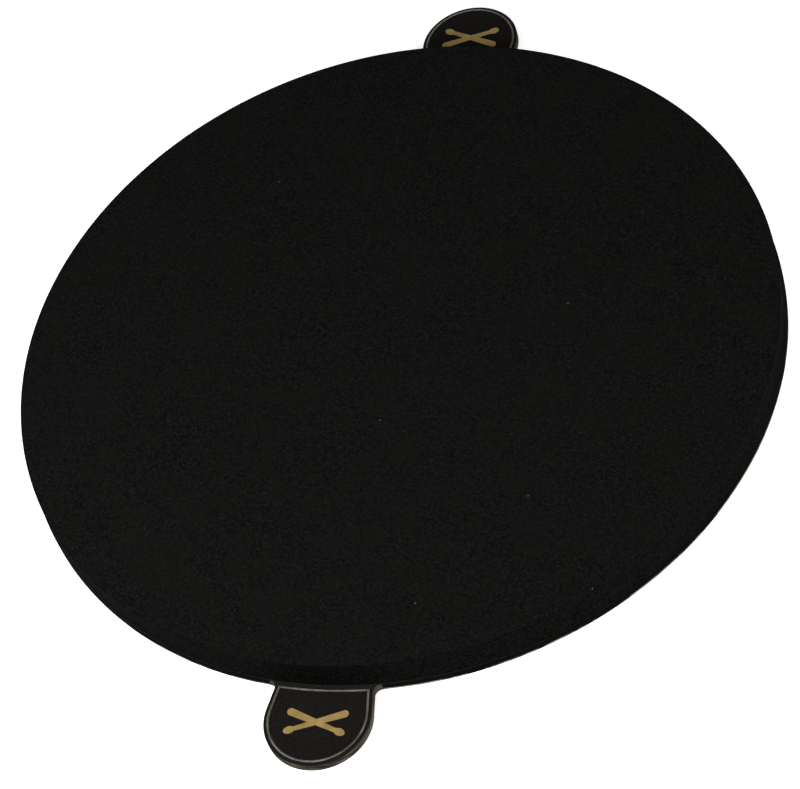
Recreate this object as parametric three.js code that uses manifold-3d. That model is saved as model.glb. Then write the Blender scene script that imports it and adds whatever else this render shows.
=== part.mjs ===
// Drum practice pad: a round foam disc laminated onto a flexible base sheet,
// with two opposite lift tabs that carry a bordered label each.
// Units are millimetres and +Z is up. The origin is the centre of the underside,
// and the tabs point along -Y (front) and +Y (rear).

import * as THREE from 'three';
import { mergeVertices } from 'three/addons/utils/BufferGeometryUtils.js';
import Module from 'manifold-3d';

// ---- driving dimensions ----

const FOAM_RADIUS = 152.5;
const SHEET_OVERHANG = 0.4;
const SHEET_RADIUS = FOAM_RADIUS + SHEET_OVERHANG;

// The stack, from the underside up.
const SHEET_THICKNESS = 3.25;
const GLUE_THICKNESS = 0.125;
const CORE_THICKNESS = 11;
const FACE_THICKNESS = 1.5;
const FACE_EDGE_ROUND = 0.5;

// A tab's outline: a round tip about a centre on the tab's middle line, flanks that narrow
// towards the pad, and a small concave fillet on each side where it meets the disc.
const TAB_TIP_CENTRE = 166;
const TAB_TIP_RADIUS = 20.5;
const TAB_FLARE = THREE.MathUtils.degToRad(8);
const TAB_FILLET = 3;
const TAB_HINGE_GAP = 0.3;
const TAB_ROOT_RADIUS = SHEET_RADIUS + TAB_HINGE_GAP;

// The printed label and the line round it, which runs just inside the label's edge.
const BORDER_TIP_RADIUS = 19.1;
const BORDER_ROOT_RADIUS = 154.5;
const BORDER_WIDTH = 0.8;
const BORDER_THICKNESS = 0.25;
const LABEL_MARGIN = 0.25;
const LABEL_TIP_RADIUS = BORDER_TIP_RADIUS + LABEL_MARGIN;
const LABEL_ROOT_RADIUS = BORDER_ROOT_RADIUS - LABEL_MARGIN;
const LABEL_THICKNESS = 0.375;

// The emblem: two crossed drumsticks, tips outward.
const EMBLEM_THICKNESS = 0.25;
const EMBLEM_CENTRE = 168.4;
const STICK_LENGTH = 25;
const STICK_BUTT_RADIUS = 1.5;
const STICK_NECK_RADIUS = 0.9;
const STICK_TIP_LENGTH = 4.4;
const STICK_TIP_RADIUS = 1.5;
const STICK_ANGLE = THREE.MathUtils.degToRad(21);

// Facets.
const DISC_SEGMENTS = 144;
const FACE_EDGE_STEPS = 3;
const ARC_STEPS = 12;

// ---- materials ----

const foamBlack = new THREE.MeshStandardMaterial({ color: 0x151515, roughness: 0.95, metalness: 0 });
const faceBlack = new THREE.MeshStandardMaterial({ color: 0x171717, roughness: 0.9, metalness: 0 });
const glueClear = new THREE.MeshStandardMaterial({ color: 0x8c8778, roughness: 0.6, metalness: 0 });
const sheetBlack = new THREE.MeshStandardMaterial({ color: 0x1c1b19, roughness: 0.75, metalness: 0 });
const labelBlack = new THREE.MeshStandardMaterial({ color: 0x181817, roughness: 0.55, metalness: 0 });
const borderSilver = new THREE.MeshStandardMaterial({ color: 0x98948c, roughness: 0.4, metalness: 0.3 });
const emblemGold = new THREE.MeshStandardMaterial({ color: 0xc29c58, roughness: 0.4, metalness: 0.3 });

// ---- the pad ----

// A flat disc whose underside is at height z0.
function discGeometry(radius, z0, thickness) {
  const geometry = new THREE.CylinderGeometry(radius, radius, thickness, DISC_SEGMENTS);
  geometry.rotateX(Math.PI / 2);
  // The ends are set to the exact heights, so that stacked discs meet face to face.
  const position = geometry.attributes.position;
  for (let i = 0; i < position.count; i += 1) {
    position.setZ(i, position.getZ(i) > 0 ? z0 + thickness : z0);
  }
  return geometry;
}

// The playing face: a thin disc with a small round on its upper edge.
function faceGeometry(z0) {
  const roundCentre = FOAM_RADIUS - FACE_EDGE_ROUND;
  const top = z0 + FACE_THICKNESS;
  const profile = [new THREE.Vector2(0, z0), new THREE.Vector2(FOAM_RADIUS, z0)];
  for (let i = 0; i < FACE_EDGE_STEPS; i += 1) {
    const angle = (i / FACE_EDGE_STEPS) * (Math.PI / 2);
    const x = roundCentre + FACE_EDGE_ROUND * Math.cos(angle);
    const y = top - FACE_EDGE_ROUND + FACE_EDGE_ROUND * Math.sin(angle);
    profile.push(new THREE.Vector2(x, y));
  }
  profile.push(new THREE.Vector2(roundCentre, top));
  profile.push(new THREE.Vector2(0, top));
  const geometry = new THREE.LatheGeometry(profile, DISC_SEGMENTS);
  // The lathe turns about Y: (x, y, z) -> (x, -z, y) stands it up along Z with exact heights.
  const position = geometry.attributes.position;
  for (let i = 0; i < position.count; i += 1) {
    const y = position.getY(i);
    position.setY(i, -position.getZ(i));
    position.setZ(i, y);
  }
  return geometry;
}

// ---- the tabs ----

// A flank is a straight line tangent to the tip circle. It is given by its unit normal, its
// unit direction (outward along the tab) and its distance from the origin along the normal.
function flankLine(tipRadius) {
  return {
    normal: new THREE.Vector2(Math.cos(TAB_FLARE), -Math.sin(TAB_FLARE)),
    along: new THREE.Vector2(Math.sin(TAB_FLARE), Math.cos(TAB_FLARE)),
    offset: tipRadius - TAB_TIP_CENTRE * Math.sin(TAB_FLARE),
  };
}

// The point at a given offset from the origin along the flank's normal and a given radius.
function pointAtRadius(flank, offset, radius) {
  const run = Math.sqrt(radius * radius - offset * offset);
  return flank.normal.clone().multiplyScalar(offset).addScaledVector(flank.along, run);
}

// The outline of a label or border: an arc beside the pad with sharp corners, two flanks and
// the round tip, drawn counter-clockwise on the +Y side.
function sharpOutline(path, tipRadius, rootRadius) {
  const flank = flankLine(tipRadius);
  const corner = pointAtRadius(flank, flank.offset, rootRadius);
  const cornerAngle = corner.angle();
  path.moveTo(corner.x, corner.y);
  path.absarc(0, TAB_TIP_CENTRE, tipRadius, -TAB_FLARE, Math.PI + TAB_FLARE, false);
  path.lineTo(-corner.x, corner.y);
  path.absarc(0, 0, rootRadius, Math.PI - cornerAngle, cornerAngle, true);
  return path;
}

// The tab's own outline: as above, with a concave fillet at each side of the root.
function tabShape() {
  const flank = flankLine(TAB_TIP_RADIUS);
  const centre = pointAtRadius(flank, flank.offset + TAB_FILLET, SHEET_RADIUS + TAB_FILLET);
  const reach = centre.length();
  // Where the fillet crosses the root's arc, seen from the fillet's centre.
  const square = TAB_ROOT_RADIUS ** 2 - reach ** 2 - TAB_FILLET ** 2;
  const swing = Math.acos(square / (2 * reach * TAB_FILLET));
  const start = centre.angle() + swing;
  const rootX = centre.x + TAB_FILLET * Math.cos(start);
  const rootY = centre.y + TAB_FILLET * Math.sin(start);
  const rootAngle = Math.atan2(rootY, rootX);
  const shape = new THREE.Shape();
  shape.moveTo(rootX, rootY);
  shape.absarc(centre.x, centre.y, TAB_FILLET, start, Math.PI - TAB_FLARE, true);
  shape.absarc(0, TAB_TIP_CENTRE, TAB_TIP_RADIUS, -TAB_FLARE, Math.PI + TAB_FLARE, false);
  shape.absarc(-centre.x, centre.y, TAB_FILLET, TAB_FLARE, Math.PI - start, true);
  shape.absarc(0, 0, TAB_ROOT_RADIUS, Math.PI - rootAngle, rootAngle, true);
  return shape;
}

// A flat piece of the given outline between two exact heights.
function plateGeometry(shape, z0, thickness) {
  const settings = { depth: thickness, bevelEnabled: false, curveSegments: ARC_STEPS };
  const geometry = new THREE.ExtrudeGeometry(shape, settings);
  const position = geometry.attributes.position;
  const middle = thickness / 2;
  for (let i = 0; i < position.count; i += 1) {
    position.setZ(i, position.getZ(i) > middle ? z0 + thickness : z0);
  }
  return geometry;
}

function labelShape() {
  return sharpOutline(new THREE.Shape(), LABEL_TIP_RADIUS, LABEL_ROOT_RADIUS);
}

function borderShape() {
  const shape = sharpOutline(new THREE.Shape(), BORDER_TIP_RADIUS, BORDER_ROOT_RADIUS);
  const innerTip = BORDER_TIP_RADIUS - BORDER_WIDTH;
  const innerRoot = BORDER_ROOT_RADIUS + BORDER_WIDTH;
  shape.holes.push(sharpOutline(new THREE.Path(), innerTip, innerRoot));
  return shape;
}

// ---- the emblem ----

// One drumstick lying along +X: a round butt, a long taper and an olive-shaped tip.
function stickShape() {
  const butt = -STICK_LENGTH / 2 + STICK_BUTT_RADIUS;
  const tip = STICK_LENGTH / 2 - STICK_TIP_LENGTH / 2;
  const tipHalf = STICK_TIP_LENGTH / 2;
  const join = Math.PI - Math.asin(STICK_NECK_RADIUS / STICK_TIP_RADIUS);
  const shape = new THREE.Shape();
  shape.moveTo(butt, -STICK_BUTT_RADIUS);
  shape.lineTo(tip + tipHalf * Math.cos(join), -STICK_NECK_RADIUS);
  shape.absellipse(tip, 0, tipHalf, STICK_TIP_RADIUS, -join, join, false, 0);
  shape.absarc(butt, 0, STICK_BUTT_RADIUS, Math.PI / 2, 1.5 * Math.PI, false);
  return shape;
}

function closedArrays(geometry) {
  geometry.deleteAttribute('normal');
  geometry.deleteAttribute('uv');
  const merged = mergeVertices(geometry, 1e-4);
  return {
    numProp: 3,
    vertProperties: new Float32Array(merged.attributes.position.array),
    triVerts: new Uint32Array(merged.index.array),
  };
}

// Two sticks crossed into one body.
async function emblemGeometry(z0) {
  const wasm = await Module();
  wasm.setup();
  const sticks = [STICK_ANGLE, Math.PI - STICK_ANGLE].map((angle) => {
    const geometry = plateGeometry(stickShape(), z0, EMBLEM_THICKNESS);
    geometry.rotateZ(angle);
    geometry.translate(0, EMBLEM_CENTRE, 0);
    return new wasm.Manifold(new wasm.Mesh(closedArrays(geometry)));
  });
  const mesh = sticks[0].add(sticks[1]).getMesh();
  const geometry = new THREE.BufferGeometry();
  geometry.setAttribute('position', new THREE.BufferAttribute(mesh.vertProperties, mesh.numProp));
  geometry.setIndex(new THREE.BufferAttribute(mesh.triVerts, 1));
  geometry.computeVertexNormals();
  return geometry;
}

// ---- assembly ----

function namedMesh(name, geometry, material) {
  const mesh = new THREE.Mesh(geometry, material);
  mesh.name = name;
  return mesh;
}

function padBody() {
  const lowerGlue = SHEET_THICKNESS;
  const core = lowerGlue + GLUE_THICKNESS;
  const upperGlue = core + CORE_THICKNESS;
  const face = upperGlue + GLUE_THICKNESS;
  const body = new THREE.Group();
  body.add(namedMesh('base_sheet', discGeometry(SHEET_RADIUS, 0, SHEET_THICKNESS), sheetBlack));
  body.add(namedMesh('base_glue_film', discGeometry(FOAM_RADIUS, lowerGlue, GLUE_THICKNESS), glueClear));
  body.add(namedMesh('foam_core', discGeometry(FOAM_RADIUS, core, CORE_THICKNESS), foamBlack));
  body.add(namedMesh('face_glue_film', discGeometry(FOAM_RADIUS, upperGlue, GLUE_THICKNESS), glueClear));
  body.add(namedMesh('strike_face', faceGeometry(face), faceBlack));
  return body;
}

// One tab with its label, border and emblem, turned about Z to its side of the pad.
async function tabBody(side, turn) {
  const labelTop = SHEET_THICKNESS + LABEL_THICKNESS;
  const tab = plateGeometry(tabShape(), 0, SHEET_THICKNESS);
  const label = plateGeometry(labelShape(), SHEET_THICKNESS, LABEL_THICKNESS);
  const border = plateGeometry(borderShape(), labelTop, BORDER_THICKNESS);
  const emblem = await emblemGeometry(labelTop);
  const body = new THREE.Group();
  body.rotation.z = turn;
  body.add(namedMesh(`${side}_tab`, tab, sheetBlack));
  body.add(namedMesh(`${side}_label`, label, labelBlack));
  body.add(namedMesh(`${side}_label_border`, border, borderSilver));
  body.add(namedMesh(`${side}_label_emblem`, emblem, emblemGold));
  return body;
}

const practicePad = new THREE.Group();
practicePad.add(padBody());
practicePad.add(await tabBody('front', Math.PI));
practicePad.add(await tabBody('rear', 0));

export default practicePad;
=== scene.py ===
# Looks for the drum practice pad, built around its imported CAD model.
# Metres, +Z up, in the model's own frame: origin at the centre of the underside,
# front tab towards -Y and rear tab towards +Y.

import math

import bmesh
import bpy
import numpy as np
from mathutils import Matrix, Vector, noise


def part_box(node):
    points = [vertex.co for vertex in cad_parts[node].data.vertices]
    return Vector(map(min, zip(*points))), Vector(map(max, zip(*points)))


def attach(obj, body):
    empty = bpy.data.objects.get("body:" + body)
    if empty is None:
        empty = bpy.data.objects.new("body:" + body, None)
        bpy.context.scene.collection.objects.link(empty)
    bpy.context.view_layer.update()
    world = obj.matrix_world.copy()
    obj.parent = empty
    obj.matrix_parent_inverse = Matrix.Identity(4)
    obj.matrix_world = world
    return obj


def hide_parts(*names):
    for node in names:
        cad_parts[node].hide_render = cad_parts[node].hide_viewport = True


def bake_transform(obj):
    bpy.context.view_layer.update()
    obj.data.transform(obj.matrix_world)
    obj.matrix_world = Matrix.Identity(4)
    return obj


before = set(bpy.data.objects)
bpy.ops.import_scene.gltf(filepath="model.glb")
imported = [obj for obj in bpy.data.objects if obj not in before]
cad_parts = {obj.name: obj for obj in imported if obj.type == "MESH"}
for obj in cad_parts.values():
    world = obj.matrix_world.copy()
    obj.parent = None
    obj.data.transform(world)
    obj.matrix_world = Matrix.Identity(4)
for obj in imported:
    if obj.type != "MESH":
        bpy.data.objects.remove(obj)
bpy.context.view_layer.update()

MM = 0.001

# ---- sizes, from the frame ----

SHEET_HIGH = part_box("base_sheet")[1]
CORE_LOW, CORE_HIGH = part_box("foam_core")
FACE_LOW, FACE_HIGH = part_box("strike_face")
TAB_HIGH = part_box("rear_tab")[1]
LABEL_LOW, LABEL_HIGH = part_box("rear_label")
BORDER_LOW, BORDER_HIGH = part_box("rear_label_border")

SHEET_RADIUS = SHEET_HIGH.x
FOAM_RADIUS = CORE_HIGH.x
TAB_TIP_RADIUS = TAB_HIGH.x
TAB_TIP_CENTRE = TAB_HIGH.y - TAB_TIP_RADIUS

# The plan shape that the boxes don't say: how the flanks narrow and how the roots are filleted.
TAB_FLARE = math.radians(8)
TAB_FILLET = 3 * MM
LABEL_ROOT_RADIUS = 154.25 * MM
BORDER_ROOT_RADIUS = 154.5 * MM
BORDER_WIDTH = 0.8 * MM


# ---- camera ----

CAMERA_AZIMUTH = math.radians(27.1)
CAMERA_ELEVATION = math.radians(50.26)
CAMERA_ROLL = math.radians(-21.03)
CAMERA_DISTANCE = 8 * FOAM_RADIUS
CAMERA_LENS = 140.4
LOOK_AT = Vector((0.0176, -0.1143, 0)) * FOAM_RADIUS
SENSOR_WIDTH = 36
NEAR_CLIP = 0.01


def make_camera():
    data = bpy.data.cameras.new("camera")
    data.lens = CAMERA_LENS
    data.sensor_width = SENSOR_WIDTH
    data.clip_start = NEAR_CLIP
    camera = bpy.data.objects.new("camera", data)
    bpy.context.scene.collection.objects.link(camera)
    flat = math.cos(CAMERA_ELEVATION)
    back = Vector((
        math.sin(CAMERA_AZIMUTH) * flat,
        -math.cos(CAMERA_AZIMUTH) * flat,
        math.sin(CAMERA_ELEVATION),
    ))
    right = Vector((math.cos(CAMERA_AZIMUTH), math.sin(CAMERA_AZIMUTH), 0))
    up = back.cross(right)
    turned_right = right * math.cos(CAMERA_ROLL) + up * math.sin(CAMERA_ROLL)
    turned_up = up * math.cos(CAMERA_ROLL) - right * math.sin(CAMERA_ROLL)
    place = Matrix((turned_right, turned_up, back)).transposed().to_4x4()
    place.translation = LOOK_AT + back * CAMERA_DISTANCE
    camera.matrix_world = place
    bpy.context.scene.camera = camera


# ---- stage ----

FLOOR_HALF = 12.0
# The floor lies just under the pad, so that their faces don't share a plane.
FLOOR_HEIGHT = -0.05 * MM
FLOOR_COLOUR = (0.9, 0.9, 0.9, 1)
FLOOR_GLOW = 0.55
WHITE = (1, 1, 1, 1)
WORLD_STRENGTH = 0.3
KEY_LIGHT = {"place": (-0.36, -0.44, 0.42), "size": 0.4, "power": 5.6}
FILL_LIGHT = {"place": (0.8, -0.25, 0.42), "size": 0.5, "power": 4.6}
# This one skims the face and lights the side wall at the right.
LOW_LIGHT = {"place": (0.9, -0.3, 0.11), "size": 0.2, "power": 5.0}


def make_floor():
    signs = ((-1, -1), (1, -1), (1, 1), (-1, 1))
    corners = [(x * FLOOR_HALF, y * FLOOR_HALF, FLOOR_HEIGHT) for x, y in signs]
    mesh = bpy.data.meshes.new("floor")
    mesh.from_pydata(corners, [], [(0, 1, 2, 3)])
    floor = bpy.data.objects.new("floor", mesh)
    bpy.context.scene.collection.objects.link(floor)
    material = bpy.data.materials.new("floor_white")
    material.use_nodes = True
    shader = material.node_tree.nodes["Principled BSDF"]
    shader.inputs["Base Color"].default_value = FLOOR_COLOUR
    shader.inputs["Roughness"].default_value = 1
    shader.inputs["Specular IOR Level"].default_value = 0
    shader.inputs["Emission Color"].default_value = WHITE
    shader.inputs["Emission Strength"].default_value = FLOOR_GLOW
    mesh.materials.append(material)


def make_light(name, place, size, power):
    """A round area light that points at the pad's centre."""
    data = bpy.data.lights.new(name, "AREA")
    data.shape = "DISK"
    data.size = size
    data.energy = power
    light = bpy.data.objects.new(name, data)
    bpy.context.scene.collection.objects.link(light)
    light.location = place
    light.rotation_euler = (-Vector(place)).to_track_quat("-Z", "Y").to_euler()


def make_lights():
    world = bpy.data.worlds.new("studio")
    world.use_nodes = True
    background = world.node_tree.nodes["Background"]
    background.inputs["Color"].default_value = WHITE
    background.inputs["Strength"].default_value = WORLD_STRENGTH
    bpy.context.scene.world = world
    make_light("key", **KEY_LIGHT)
    make_light("fill", **FILL_LIGHT)
    make_light("low", **LOW_LIGHT)


# ---- materials ----

FLAT = "flat_position"


class Surface:
    """A procedural material around one Principled shader. It's laid out in the flat coordinates that
    make_piece stores, or else in the object's own."""

    def __init__(self, name, roughness, specular, metallic=0.0, flat=True):
        self.material = bpy.data.materials.new(name)
        self.material.use_nodes = True
        self.tree = self.material.node_tree
        self.shader = self.tree.nodes["Principled BSDF"]
        self.shader.inputs["Roughness"].default_value = roughness
        self.shader.inputs["Specular IOR Level"].default_value = specular
        self.shader.inputs["Metallic"].default_value = metallic
        if flat:
            self.where = self.node("ShaderNodeAttribute", attribute_name=FLAT).outputs["Vector"]
        else:
            self.where = self.node("ShaderNodeTexCoord").outputs["Object"]
        self.height = None

    def node(self, kind, **settings):
        made = self.tree.nodes.new(kind)
        for key, value in settings.items():
            setattr(made, key, value)
        return made

    def wire(self, socket, value):
        """Joins an output to a socket, or sets the socket to a plain value."""
        if isinstance(value, bpy.types.NodeSocket):
            self.tree.links.new(value, socket)
        elif isinstance(value, tuple) and len(value) == 3 and socket.type == "RGBA":
            socket.default_value = (*value, 1)
        else:
            socket.default_value = value

    def stretched(self, scale):
        """The coordinates scaled per axis, for streaks."""
        mapping = self.node("ShaderNodeMapping")
        self.wire(mapping.inputs["Vector"], self.where)
        mapping.inputs["Scale"].default_value = scale
        return mapping.outputs["Vector"]

    def noise(self, per_metre, detail=3.0, rough=0.55, where=None):
        """Soft noise from 0 to 1, mostly near its middle."""
        made = self.node("ShaderNodeTexNoise")
        self.wire(made.inputs["Vector"], where or self.where)
        made.inputs["Scale"].default_value = per_metre
        made.inputs["Detail"].default_value = detail
        made.inputs["Roughness"].default_value = rough
        return made.outputs["Fac"]

    def cells(self, per_metre, feature="F1", output="Distance", flat=False):
        """Round cells. Flat ones depend on x and y only, so that each is seen on a level face."""
        dimensions = "2D" if flat else "3D"
        made = self.node("ShaderNodeTexVoronoi", feature=feature, voronoi_dimensions=dimensions)
        self.wire(made.inputs["Vector"], self.where)
        made.inputs["Scale"].default_value = per_metre
        return made.outputs[output]

    def fit(self, value, low, high, to_low=0.0, to_high=1.0):
        """value from low..high to to_low..to_high, held at the ends."""
        made = self.node("ShaderNodeMapRange")
        self.wire(made.inputs["Value"], value)
        made.inputs["From Min"].default_value = low
        made.inputs["From Max"].default_value = high
        made.inputs["To Min"].default_value = to_low
        made.inputs["To Max"].default_value = to_high
        return made.outputs["Result"]

    def math(self, operation, a, b):
        made = self.node("ShaderNodeMath", operation=operation)
        self.wire(made.inputs[0], a)
        self.wire(made.inputs[1], b)
        return made.outputs[0]

    def mix(self, amount, a, b):
        """Colour a where amount is 0, and b where it's 1."""
        made = self.node("ShaderNodeMix", data_type="RGBA")
        self.wire(made.inputs["Factor"], amount)
        self.wire(made.inputs[6], a)
        self.wire(made.inputs[7], b)
        return made.outputs[2]

    def colour(self, value):
        self.wire(self.shader.inputs["Base Color"], value)

    def roughness(self, value):
        self.wire(self.shader.inputs["Roughness"], value)

    def bump(self, height, depth, strength=1.0):
        """Adds a bump of the given depth in metres on top of those before it."""
        made = self.node("ShaderNodeBump")
        made.inputs["Strength"].default_value = strength
        made.inputs["Distance"].default_value = depth
        self.wire(made.inputs["Height"], height)
        if self.height is not None:
            self.wire(made.inputs["Normal"], self.height)
        self.height = made.outputs["Normal"]
        self.wire(self.shader.inputs["Normal"], self.height)


def lint(surface, colour, tint, per_metre, size, share):
    """Sparse specks of pale lint over the colour of a level face: one at most in each cell."""
    middle = surface.cells(per_metre, flat=True)
    near = surface.fit(middle, size * per_metre, 0.5 * size * per_metre)
    pick = surface.node("ShaderNodeSeparateColor")
    surface.wire(pick.inputs[0], surface.cells(per_metre, output="Color", flat=True))
    chosen = surface.math("LESS_THAN", pick.outputs[0], share)
    return surface.mix(surface.math("MULTIPLY", near, chosen), colour, tint)


def strike_face_material():
    """Matte foam skin with a fine pebbled grain, faint mottling and a few specks of lint."""
    low = (0.0015, 0.0015, 0.0014)
    high = (0.0084, 0.0084, 0.0083)
    pit = (0.0016, 0.0016, 0.0015)
    patch = (0.0056, 0.0056, 0.0058)
    olive = (0.0052, 0.0053, 0.0034)
    faint_lint = (0.0200, 0.0195, 0.0185)
    clear_lint = (0.050, 0.048, 0.045)
    s = Surface("foam_skin", roughness=1.0, specular=0.03)
    grain = s.noise(per_metre=800, rough=0.75)
    pits = s.cells(per_metre=1000, flat=True)
    patches = s.noise(per_metre=35, rough=0.6)
    tints = s.noise(per_metre=100, detail=2.0, rough=0.6)
    grained = s.mix(s.fit(grain, 0.38, 0.64), low, high)
    pitted = s.mix(s.fit(pits, 0.35, 0.75, to_high=0.5), grained, pit)
    mottled = s.mix(s.fit(patches, 0.35, 0.65, to_high=0.3), pitted, patch)
    tinted = s.mix(s.fit(tints, 0.45, 0.6, to_high=0.35), mottled, olive)
    specks = lint(s, tinted, faint_lint, per_metre=110, size=0.34 * MM, share=0.16)
    s.colour(lint(s, specks, clear_lint, per_metre=31, size=0.5 * MM, share=0.12))
    s.bump(pits, depth=0.12 * MM, strength=0.6)
    s.bump(grain, depth=0.34 * MM, strength=0.9)
    return s.material


def foam_side_material():
    """The cut side of closed-cell foam: fine open cells and faint level cutting lines."""
    low = (0.0007, 0.0007, 0.0006)
    high = (0.0044, 0.0044, 0.0042)
    cut = (0.0050, 0.0049, 0.0046)
    s = Surface("foam_side", roughness=1.0, specular=0.006)
    grain = s.noise(per_metre=900, rough=0.75)
    lines = s.noise(per_metre=1.0, rough=0.6, where=s.stretched((60, 60, 900)))
    grained = s.mix(s.fit(grain, 0.38, 0.62), low, high)
    s.colour(s.mix(s.fit(lines, 0.4, 0.75, to_high=0.3), grained, cut))
    s.bump(s.cells(per_metre=900, feature="SMOOTH_F1"), depth=0.2 * MM, strength=0.8)
    s.bump(grain, depth=0.25 * MM, strength=0.9)
    s.bump(lines, depth=0.08 * MM, strength=0.5)
    return s.material


def glue_material():
    """A dark, thin line of transfer adhesive."""
    low = (0.0020, 0.0020, 0.0018)
    high = (0.0050, 0.0048, 0.0044)
    s = Surface("glue_line", roughness=0.8, specular=0.05)
    s.colour(s.mix(s.noise(per_metre=600), low, high))
    return s.material


def sheet_top_material():
    """Dull black rubber sheet with a fine calendered grain."""
    low = (0.0046, 0.0041, 0.0034)
    high = (0.0135, 0.0118, 0.0096)
    s = Surface("sheet_top", roughness=0.9, specular=0.05)
    grain = s.noise(per_metre=1200, rough=0.65)
    s.colour(s.mix(s.fit(grain, 0.36, 0.66), low, high))
    s.bump(grain, depth=0.08 * MM, strength=0.7)
    return s.material


# Streaks that a cutting die leaves: long in the sheet's plane and fine up its edge.
DIE_STREAKS = (45, 45, 1300)
DIE_THREADS = (120, 120, 2400)


def sheet_rim_material():
    """The round part's edge: nearly black, with a painted highlight, a thin pale line low down in
    places.
    """
    low = (0.0010, 0.0010, 0.0009)
    high = (0.0032, 0.0030, 0.0027)
    # The pale colour of a painted highlight along the foot of the edge.
    painted_highlight = (0.190, 0.180, 0.165)
    s = Surface("sheet_rim", roughness=0.9, specular=0.008)
    place = s.node("ShaderNodeSeparateXYZ")
    s.wire(place.inputs[0], s.where)
    foot = s.fit(place.outputs["Z"], 0.6 * MM, 1.0 * MM, to_low=1.0, to_high=0.0)
    # Patches where the painted highlight shows, low on the edge.
    highlight_patches = s.fit(s.noise(per_metre=28, detail=4.0, rough=0.7), 0.46, 0.54)
    streaks = s.noise(per_metre=1.0, detail=4.0, rough=0.65, where=s.stretched(DIE_STREAKS))
    streaked = s.mix(s.fit(streaks, 0.38, 0.66), low, high)
    # Paints the highlight: a pale line at the foot of the edge, in patches.
    s.colour(s.mix(s.math("MULTIPLY", foot, highlight_patches), streaked, painted_highlight))
    s.bump(streaks, depth=0.15 * MM, strength=0.8)
    return s.material


def sheet_edge_material():
    """The tabs' die-cut edge: brownish grey, with pale streaks that run along the sheet."""
    low = (0.0060, 0.0052, 0.0042)
    high = (0.0270, 0.0235, 0.0185)
    pale = (0.090, 0.076, 0.058)
    s = Surface("sheet_edge", roughness=0.9, specular=0.03)
    streaks = s.noise(per_metre=1.0, detail=4.0, rough=0.65, where=s.stretched(DIE_STREAKS))
    threads = s.noise(per_metre=1.0, detail=2.0, rough=0.5, where=s.stretched(DIE_THREADS))
    streaked = s.mix(s.fit(streaks, 0.36, 0.62), low, high)
    s.colour(s.mix(s.fit(threads, 0.50, 0.66), streaked, pale))
    s.bump(streaks, depth=0.15 * MM, strength=0.8)
    s.bump(threads, depth=0.08 * MM, strength=0.6)
    return s.material


def underside_material():
    """The sheet's resting face: plain rubber with a fine pebbled grain."""
    low = (0.0040, 0.0039, 0.0035)
    high = (0.0090, 0.0086, 0.0078)
    s = Surface("sheet_under", roughness=0.9, specular=0.04)
    grain = s.noise(per_metre=900, detail=4.0, rough=0.65)
    s.colour(s.mix(s.fit(grain, 0.34, 0.68), low, high))
    s.bump(s.cells(per_metre=800, flat=True), depth=0.12 * MM, strength=0.6)
    return s.material


def label_material():
    """Dull black film, faintly uneven, with a little dust."""
    low = (0.0046, 0.0043, 0.0037)
    high = (0.0092, 0.0086, 0.0077)
    hazy = (0.0092, 0.0085, 0.0076)
    dust = (0.022, 0.021, 0.019)
    s = Surface("label_film", roughness=0.9, specular=0.015)
    haze = s.noise(per_metre=70, rough=0.6)
    grain = s.noise(per_metre=1500, detail=2.0, rough=0.6)
    grained = s.mix(s.fit(grain, 0.36, 0.66), low, high)
    toned = s.mix(s.fit(haze, 0.35, 0.65, to_high=0.35), grained, hazy)
    s.colour(lint(s, toned, dust, per_metre=160, size=0.2 * MM, share=0.3))
    s.roughness(s.fit(haze, 0.3, 0.7, to_low=0.82, to_high=0.95))
    s.bump(grain, depth=0.02 * MM, strength=0.5)
    return s.material


def silver_material():
    """Worn silver print: warm grey, brighter and duller in turn."""
    low = (0.062, 0.054, 0.042)
    high = (0.140, 0.130, 0.112)
    gap = (0.034, 0.029, 0.022)
    s = Surface("silver_print", roughness=0.6, specular=0.1, metallic=0.1)
    tone = s.noise(per_metre=110, rough=0.65)
    speckle = s.noise(per_metre=2200, detail=2.0, rough=0.6)
    toned = s.mix(s.fit(tone, 0.36, 0.64), low, high)
    s.colour(s.mix(s.fit(speckle, 0.52, 0.70), toned, gap))
    s.bump(speckle, depth=0.03 * MM, strength=0.6)
    return s.material


def gold_material():
    """Gold print with a slight grain, for the emblems, which are the model's own nodes."""
    low = (0.20, 0.132, 0.042)
    high = (0.30, 0.202, 0.076)
    gap = (0.22, 0.135, 0.036)
    s = Surface("gold_print", roughness=0.55, specular=0.1, metallic=0.1, flat=False)
    tone = s.noise(per_metre=160, rough=0.6)
    speckle = s.noise(per_metre=2400, detail=2.0, rough=0.6)
    toned = s.mix(s.fit(tone, 0.34, 0.66), low, high)
    s.colour(s.mix(s.fit(speckle, 0.6, 0.8), toned, gap))
    s.bump(speckle, depth=0.03 * MM, strength=0.6)
    return s.material


# ---- meshes ----

MERGE_DISTANCE = 0.0005 * MM
SHARP_ANGLE = math.radians(35)


def make_piece(name, points, faces, face_slots, materials):
    """A smooth-shaded object of closed geometry. Points in the same place are merged."""
    mesh = bpy.data.meshes.new(name)
    mesh.from_pydata([tuple(p) for p in points], [], faces)
    for material in materials:
        mesh.materials.append(material)
    mesh.polygons.foreach_set("material_index", face_slots)
    work = bmesh.new()
    work.from_mesh(mesh)
    bmesh.ops.remove_doubles(work, verts=work.verts, dist=MERGE_DISTANCE)
    bmesh.ops.recalc_face_normals(work, faces=work.faces)
    work.to_mesh(mesh)
    work.free()
    mesh.polygons.foreach_set("use_smooth", [True] * len(mesh.polygons))
    mesh.set_sharp_from_angle(angle=SHARP_ANGLE)
    flat = np.empty(3 * len(mesh.vertices), dtype=np.float32)
    mesh.vertices.foreach_get("co", flat)
    mesh.attributes.new(FLAT, "FLOAT_VECTOR", "POINT").data.foreach_set("vector", flat)
    piece = bpy.data.objects.new(name, mesh)
    bpy.context.scene.collection.objects.link(piece)
    return piece


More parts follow.
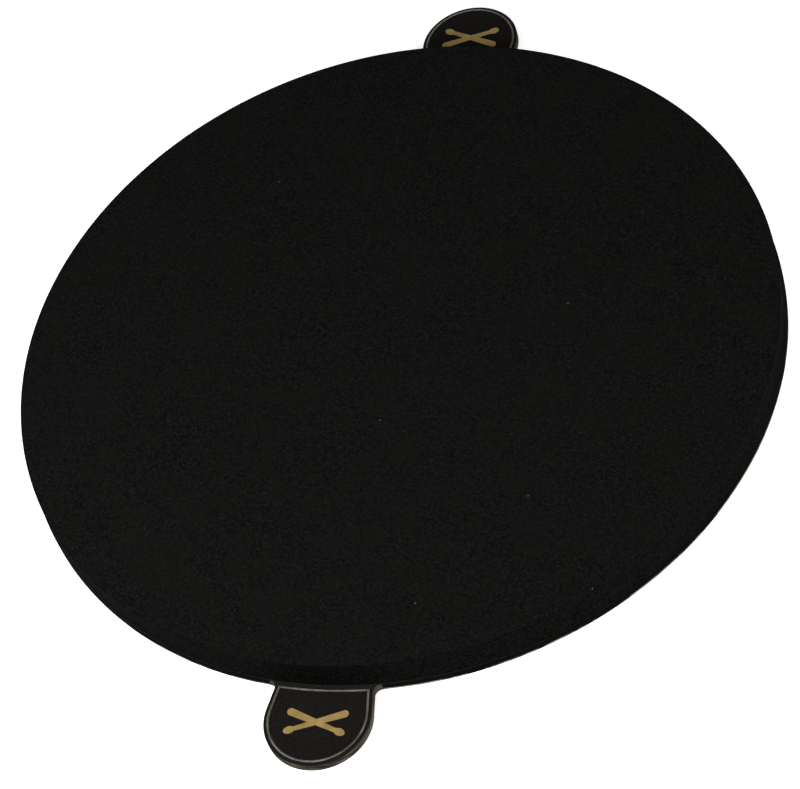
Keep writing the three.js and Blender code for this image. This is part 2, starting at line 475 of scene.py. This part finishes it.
class Solid:
    """Points and faces of a solid that is made of loops and grids."""

    def __init__(self):
        self.points = []
        self.faces = []
        self.slots = []

    def add_grid(self, rows, slot, closed=False):
        """Quads between rows of points; closed joins each row's ends."""
        start = len(self.points)
        width = len(rows[0])
        for row in rows:
            self.points.extend(row)
        steps = width if closed else width - 1
        for i in range(len(rows) - 1):
            for j in range(steps):
                a = start + i * width + j
                b = start + i * width + (j + 1) % width
                self.faces.append((a, b, b + width, a + width))
                self.slots.append(slot)

    def piece(self, name, materials):
        return make_piece(name, self.points, self.faces, self.slots, materials)


def streak(x, y, z, along, across):
    """A smooth repeatable unevenness that runs along an edge, from -1 to 1."""
    return noise.noise(Vector((x * along, y * along, z * across)))


def spread(start, end, count):
    """count values from start up to, but not including, end."""
    return [start + (end - start) * i / count for i in range(count)]


def at_height(points, z):
    return [(x, y, z) for x, y in points]


# ---- discs ----

SEGMENTS = 720
EVEN_ANGLES = spread(0, 2 * math.pi, SEGMENTS)
EDGE_STEPS = 4

CORE_EDGE = 0.04 * MM
CORE_LEVELS = 12
FACE_EDGE = 0.25 * MM
FACE_RINGS = 20
# The share of the skin's height at which its wall has a row of points.
FACE_MIDDLE = 0.6
SHEET_LEVELS = 20
FOAM_WAIST = 0.3 * MM
FOAM_RAGGED = 0.07 * MM
# How quickly the raggedness changes round the wall, and per metre up it.
RAGGED_AROUND = 50
RAGGED_UP = 500
GLUE_INSET = 0.08 * MM
FACE_DIP = 0.2 * MM
# The face's dips follow a level slice of 3-D noise.
FACE_DIPS_PER_METRE = 14
FACE_DIP_SLICE = 0.3
# The foam's rim wanders inside its true circle: (depth, waves round the disc, phase).
RIM_WAVES = ((0.28 * MM, 2, 0.8), (0.12 * MM, 5, 2.1))

# The sheet's faces, by their material's place in its list.
SHEET_TOP, SHEET_EDGE, SHEET_UNDER = range(3)
SHEET_EDGE_ROUND = 0.15 * MM
RIM_DIP = 0.06 * MM
# How quickly the unevenness changes, per metre along an edge and per metre up it.
RIM_STREAK = (40, 1800)
TAB_STREAK = (90, 1900)
ROOT_STEPS = 48
# Over how many radians from a tab's root the rim takes on its full wear.
ROOT_BLEND = 0.01


def disc(name, radius_at, profile, ends, materials, rings=8, drop=None, angles=EVEN_ANGLES):
    """A disc about Z. The profile has rows of (inset, height, material above) from the underside
    up, and radius_at(angle, inset, height) says where the wall is. ends are the materials of the
    underside and the top, and drop(x, y) lowers the top."""
    solid = Solid()

    def ring(row, share=1.0, lower=None):
        inset, z, _ = row
        points = []
        for angle in angles:
            radius = radius_at(angle, inset, z) * share
            x = radius * math.cos(angle)
            y = radius * math.sin(angle)
            points.append((x, y, z - (lower(x, y) if lower else 0)))
        return points

    shares = [i / rings for i in range(rings + 1)]
    under, top = ends
    solid.add_grid([ring(profile[0], share) for share in shares], under, True)
    for low, high in zip(profile, profile[1:]):
        solid.add_grid([ring(low), ring(high)], low[2], True)
    solid.add_grid([ring(profile[-1], 1 - share, drop) for share in shares], top, True)
    return solid.piece(name, materials)


def rounded_foot(low, edge, slot):
    """Rows of a wall's lower edge, rounded by edge."""
    angles = spread(0, math.pi / 2, EDGE_STEPS)
    return [(edge * (1 - math.sin(a)), low + edge * (1 - math.cos(a)), slot) for a in angles]


def rounded_head(high, edge, slot):
    """Rows of a wall's upper edge, rounded by edge."""
    angles = spread(0, math.pi / 2, EDGE_STEPS)
    rows = [(edge * (1 - math.cos(a)), high - edge * (1 - math.sin(a)), slot) for a in angles]
    return rows + [(edge, high, slot)]


def wall_profile(low, high, edge, slot, levels):
    """A straight wall between two rounded edges."""
    straight = [(0.0, z, slot) for z in spread(low + edge, high - edge, levels)]
    return rounded_foot(low, edge, slot) + straight + rounded_head(high, edge, slot)


def foam_lies_in(angle):
    """How far the foam's rim lies inside its true circle."""
    return sum(
        depth * (0.5 + 0.5 * math.sin(waves * angle + phase))
        for depth, waves, phase in RIM_WAVES
    )


def foam_radius(angle, inset, z):
    """The foam's wall: drawn in by a waist at mid height, and slightly ragged."""
    height = (z - CORE_LOW.z) / (FACE_HIGH.z - CORE_LOW.z)
    waist = FOAM_WAIST * math.sin(math.pi * min(1.0, max(0.0, height)))
    around = Vector((math.cos(angle), math.sin(angle), 0)) * RAGGED_AROUND
    place = around + Vector((0, 0, z * RAGGED_UP))
    ragged = FOAM_RAGGED * (1 + noise.noise(place)) / 2
    return FOAM_RADIUS - foam_lies_in(angle) - waist - ragged - inset


def glue_radius(angle, inset, z):
    return foam_radius(angle, inset, z) - GLUE_INSET


def face_drop(x, y):
    """The soft face isn't dead flat: it lies low in places, and true at the rim."""
    radius = math.hypot(x, y) / FOAM_RADIUS
    place = Vector((x * FACE_DIPS_PER_METRE, y * FACE_DIPS_PER_METRE, FACE_DIP_SLICE))
    rise = noise.noise(place)
    return FACE_DIP * (1 + rise) / 2 * max(0.0, 1 - radius ** 4)


def foam_core_disc(side):
    profile = wall_profile(CORE_LOW.z, CORE_HIGH.z, CORE_EDGE, 0, CORE_LEVELS)
    core = disc("foam_core_disc", foam_radius, profile, (0, 0), [side])
    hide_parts("foam_core")
    return core


def strike_face_skin(side):
    """The skin over the foam: its top has the playing surface, and its cut side the foam's."""
    low, high = FACE_LOW.z, FACE_HIGH.z
    profile = [(0.0, low, 1), (0.0, low + FACE_MIDDLE * (high - low), 1)]
    profile += rounded_head(high, FACE_EDGE, 1)
    materials = [strike_face_material(), side]
    skin = disc("strike_face_skin", foam_radius, profile, (1, 0), materials, FACE_RINGS, face_drop)
    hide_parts("strike_face")
    return skin


def glue_line(node, material):
    low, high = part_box(node)
    profile = [(0.0, low.z, 0), (0.0, high.z, 0)]
    line = disc(node.replace("film", "line"), glue_radius, profile, (0, 0), [material])
    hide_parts(node)
    return line


def base_sheet_disc():
    """The sheet's round part. Its edge is softened and streaked, except at the tabs' roots."""
    root_x, root_y = tab_half(0)[0]
    half_root = math.atan2(root_x, root_y)
    angles = []
    for middle in (math.pi / 2, 1.5 * math.pi):
        angles += spread(middle - half_root, middle + half_root, ROOT_STEPS)
        angles += spread(middle + half_root, middle + math.pi - half_root, SEGMENTS // 2)

    def sheet_radius(angle, inset, z):
        apart = abs(angle % math.pi - math.pi / 2)
        free = min(1.0, max(0.0, (apart - half_root) / ROOT_BLEND))
        x = math.cos(angle) * SHEET_RADIUS
        y = math.sin(angle) * SHEET_RADIUS
        dip = RIM_DIP * (1 + streak(x, y, z, *RIM_STREAK)) / 2
        return SHEET_RADIUS - free * (inset + dip)

    profile = wall_profile(0.0, SHEET_HIGH.z, SHEET_EDGE_ROUND, SHEET_EDGE, SHEET_LEVELS)
    ends = (SHEET_UNDER, SHEET_TOP)
    materials = [sheet_top_material(), sheet_rim_material(), underside_material()]
    sheet = disc("base_sheet_disc", sheet_radius, profile, ends, materials, angles=angles)
    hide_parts("base_sheet")
    return sheet


def make_discs():
    side = foam_side_material()
    glue = glue_material()
    core = foam_core_disc(side)
    skin = strike_face_skin(side)
    lines = [glue_line(node, glue) for node in ("base_glue_film", "face_glue_film")]
    for piece in (core, skin, *lines, base_sheet_disc()):
        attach(piece, "pad")


# ---- tabs ----

FILLET_STEPS = 22
FLANK_STEPS = 12
LABEL_FLANK_STEPS = 26
TIP_STEPS = 64
EDGE_DIP = 0.12 * MM
TAB_EDGE_LEVELS = 16
LABEL_EDGE_LEVELS = 2
LABEL_EDGE = 0.08 * MM
# The share of an edge's rounding that the middle of its curve is set back.
EDGE_SOFTNESS = 0.3
# How far out a tab's rows of points take to go from the root's arc to straight across.
ROOT_FADE = 12 * MM


def on_circle(centre, radius, angle):
    return (centre[0] + radius * math.cos(angle), centre[1] + radius * math.sin(angle))


def flank_point(offset, radius):
    """The point of a flank, at its offset from the origin, that lies at this radius."""
    run = math.sqrt(radius * radius - offset * offset)
    x = offset * math.cos(TAB_FLARE) + run * math.sin(TAB_FLARE)
    y = -offset * math.sin(TAB_FLARE) + run * math.cos(TAB_FLARE)
    return (x, y)


def flank_offset(tip_radius):
    return tip_radius - TAB_TIP_CENTRE * math.sin(TAB_FLARE)


def flank_and_tip(start, tip_radius, flank_steps):
    """Points from the flank's start to the tip."""
    end = on_circle((0, TAB_TIP_CENTRE), tip_radius, -TAB_FLARE)
    points = []
    for t in spread(0, 1, flank_steps):
        points.append((start[0] + (end[0] - start[0]) * t, start[1] + (end[1] - start[1]) * t))
    for angle in spread(-TAB_FLARE, math.pi / 2, TIP_STEPS):
        points.append(on_circle((0, TAB_TIP_CENTRE), tip_radius, angle))
    points.append((0.0, TAB_TIP_CENTRE + tip_radius))
    return points


def tab_half(inset):
    """The right half of a tab's outline, from its root on the disc's rim to its tip."""
    offset = flank_offset(TAB_TIP_RADIUS)
    centre = flank_point(offset + TAB_FILLET, SHEET_RADIUS + TAB_FILLET)
    reach = math.hypot(*centre)
    radius = TAB_FILLET + inset
    cosine = (SHEET_RADIUS ** 2 - reach ** 2 - radius ** 2) / (2 * reach * radius)
    start = math.atan2(centre[1], centre[0]) + math.acos(max(-1.0, cosine))
    end = math.pi - TAB_FLARE
    points = [on_circle(centre, radius, angle) for angle in spread(start, end, FILLET_STEPS)]
    flank_start = on_circle(centre, radius, end)
    return points + flank_and_tip(flank_start, TAB_TIP_RADIUS - inset, FLANK_STEPS)


def sharp_half(tip_radius, root_radius, inset):
    """The right half of a label's or border's outline, with a sharp corner at its root."""
    start = flank_point(flank_offset(tip_radius - inset), root_radius + inset)
    return flank_and_tip(start, tip_radius - inset, LABEL_FLANK_STEPS)


def plan_rows(half, root_radius):
    """Rows of plan points across a tab. The first follows the root's arc, and later ones straighten."""
    rows = []
    root_y = half[0][1]
    for x, y in half:
        fade = min(1.0, max(0.0, (y - root_y) / ROOT_FADE))
        keep = 1 - fade * fade * (3 - 2 * fade)
        sag = math.sqrt(root_radius ** 2 - x ** 2)
        row = []
        for i in range(ROOT_STEPS + 1):
            across = x * (2 * i / ROOT_STEPS - 1)
            rise = math.sqrt(root_radius ** 2 - across ** 2) - sag
            row.append((across, y + keep * rise))
        rows.append(row)
    return rows


def outline_loop(half, root_radius):
    """A closed loop: the root's arc from left to right, then up the right side and down the left."""
    corner = half[0]
    loop = []
    for i in range(ROOT_STEPS):
        x = corner[0] * (2 * i / ROOT_STEPS - 1)
        loop.append((x, math.sqrt(root_radius ** 2 - x ** 2)))
    loop += half
    loop += [(-x, y) for x, y in reversed(half[1:-1])]
    return loop


def plate(half_at, root_at, levels, wall_slot, under_slot, streaks=0.0):
    """A closed plate. half_at(inset) and root_at(inset) give its outline, and levels are (inset, z)
    from the top down."""
    solid = Solid()
    top_inset, top = levels[0]
    low_inset, low = levels[-1]
    top_rows = plan_rows(half_at(top_inset), root_at(top_inset))
    solid.add_grid([at_height(row, top) for row in top_rows], 0)
    low_rows = plan_rows(half_at(low_inset), root_at(low_inset))
    solid.add_grid([at_height(row, low) for row in low_rows], under_slot)
    walls = []
    for inset, z in levels:
        loop = outline_loop(half_at(inset), root_at(inset))
        inner = low < z < top and inset == 0
        row = []
        for i, (x, y) in enumerate(loop):
            dip = 0.0
            if inner and i > ROOT_STEPS:
                dip = streaks * (1 + streak(x, y, z, *TAB_STREAK)) / 2
            away = Vector((x, y - TAB_TIP_CENTRE)).normalized()
            row.append((x - away.x * dip, y - away.y * dip, z))
        walls.append(row)
    solid.add_grid(walls, wall_slot, True)
    return solid


def edge_levels(low, high, edge, count):
    """Levels of a wall with softened edges, as (inset, height) from the top down."""
    heights = spread(high - edge, low + edge, count) + [low + edge]
    soft = EDGE_SOFTNESS * edge
    head = [(edge, high), (soft, high - soft)]
    foot = [(soft, low + soft), (edge, low)]
    return head + [(0.0, z) for z in heights] + foot


def turned(points, side):
    """The rear tab's points, turned by half a turn for the front tab."""
    return points if side > 0 else [(-x, -y, z) for x, y, z in points]


def bend(piece):
    """Bakes the piece's placement into its mesh; it does not bend it."""
    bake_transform(piece)


def border_solid():
    """A raised line of print with a softly crowned section, all round the label."""
    low, high = BORDER_LOW.z, BORDER_HIGH.z
    # Half of the section, as shares of the line's width and height.
    section = [(0.0, 0.0), (0.03, 0.45), (0.12, 0.8), (0.3, 0.97), (0.5, 1.0)]
    section += [(1 - across, up) for across, up in reversed(section[:-1])]
    rows = []
    for across, up in section:
        inset = BORDER_WIDTH * across
        half = sharp_half(BORDER_HIGH.x, BORDER_ROOT_RADIUS, inset)
        loop = outline_loop(half, BORDER_ROOT_RADIUS + inset)
        rows.append(at_height(loop, low + (high - low) * up))
    rows.append(rows[0])
    solid = Solid()
    solid.add_grid(rows, 0, True)
    return solid


def make_tab(end, side, materials):
    """One lift tab with its label and border. The emblem is the CAD node itself."""
    body = f"{end}_tab"
    top = SHEET_HIGH.z
    levels = edge_levels(0.0, top, SHEET_EDGE_ROUND, TAB_EDGE_LEVELS)
    tab = plate(tab_half, lambda inset: SHEET_RADIUS, levels, SHEET_EDGE, SHEET_UNDER, EDGE_DIP)
    label_levels = edge_levels(LABEL_LOW.z, LABEL_HIGH.z, LABEL_EDGE, LABEL_EDGE_LEVELS)
    label = plate(
        lambda inset: sharp_half(LABEL_HIGH.x, LABEL_ROOT_RADIUS, inset),
        lambda inset: LABEL_ROOT_RADIUS + inset,
        label_levels, 0, 0,
    )
    parts = [
        (tab, f"{body}_sheet", materials["sheet"], "base_sheet", body),
        (label, f"{body}_label_film", materials["label"], "label", f"{end}_label"),
        (border_solid(), f"{body}_border_print", materials["border"], "label_border",
         f"{end}_label_border"),
    ]
    for solid, name, surfaces, slot, node in parts:
        solid.points = turned(solid.points, side)
        piece = solid.piece(name, surfaces)
        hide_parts(node)
        bend(piece)
    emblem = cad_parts[f"{end}_label_emblem"]
    emblem.data.materials.clear()
    emblem.data.materials.append(materials["gold"])


def make_tabs():
    materials = {
        "sheet": [sheet_top_material(), sheet_edge_material(), underside_material()],
        "label": [label_material()],
        "border": [silver_material()],
        "gold": gold_material(),
    }
    make_tab("rear", 1, materials)
    make_tab("front", -1, materials)


# ---- build ----

bpy.context.scene.view_settings.view_transform = "Standard"
make_camera()
make_floor()
make_lights()
make_discs()
make_tabs()
